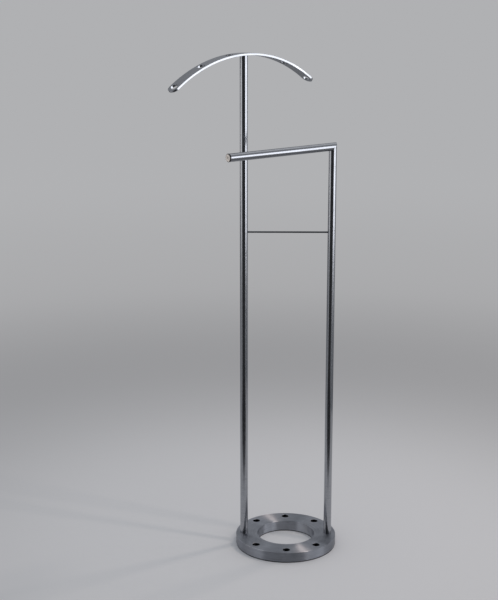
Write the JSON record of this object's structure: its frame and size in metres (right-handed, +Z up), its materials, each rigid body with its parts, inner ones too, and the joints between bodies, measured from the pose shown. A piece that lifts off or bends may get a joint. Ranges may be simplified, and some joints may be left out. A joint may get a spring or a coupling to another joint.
{
  "type": "valet stand",
  "caption": "Free-standing valet stand: upright steel tubes in a heavy flange ring base, an arched flat hanger bar on the tall one and a level trouser bar mitred onto the short one.",
  "frame": {"origin": "centre of the base ring's bore, on the floor plane under the gasket", "axes": "+Z up along the bore's axis; +X from the tall post to the short post; the trouser bar reaches out towards -Y"},
  "size_m": [0.3962, 0.3757, 1.22],
  "materials": {
    "turned_flange_steel": "lathe turned, satin",
    "gasket_rubber": "matte black sheet rubber",
    "satin_tube_steel": "satin stainless tube, brushed along its length",
    "cold_drawn_rod_steel": "bright drawn stainless rod",
    "turned_cap_steel": "faced on a lathe, bevelled rim",
    "polished_bar_steel": "brushed broad faces, polished narrow edges",
    "fastener_steel": "plain stainless"
  },
  "bodies": {
    "root": {"base_flange": "turned_flange_steel", "floor_gasket": "gasket_rubber", "tall_post": "satin_tube_steel", "short_post": "satin_tube_steel", "cross_rod": "cold_drawn_rod_steel", "trouser_bar": "satin_tube_steel", "trouser_bar_end_cap": "turned_cap_steel", "hanger_bar": "polished_bar_steel", "hanger_screw": "fastener_steel", "tall_post_top_plug": "fastener_steel", "tall_post_foot_plug": "fastener_steel", "short_post_foot_plug": "fastener_steel", "base_screws": "fastener_steel", "base_lock_washers": "fastener_steel"}
  },
  "joints": []
}
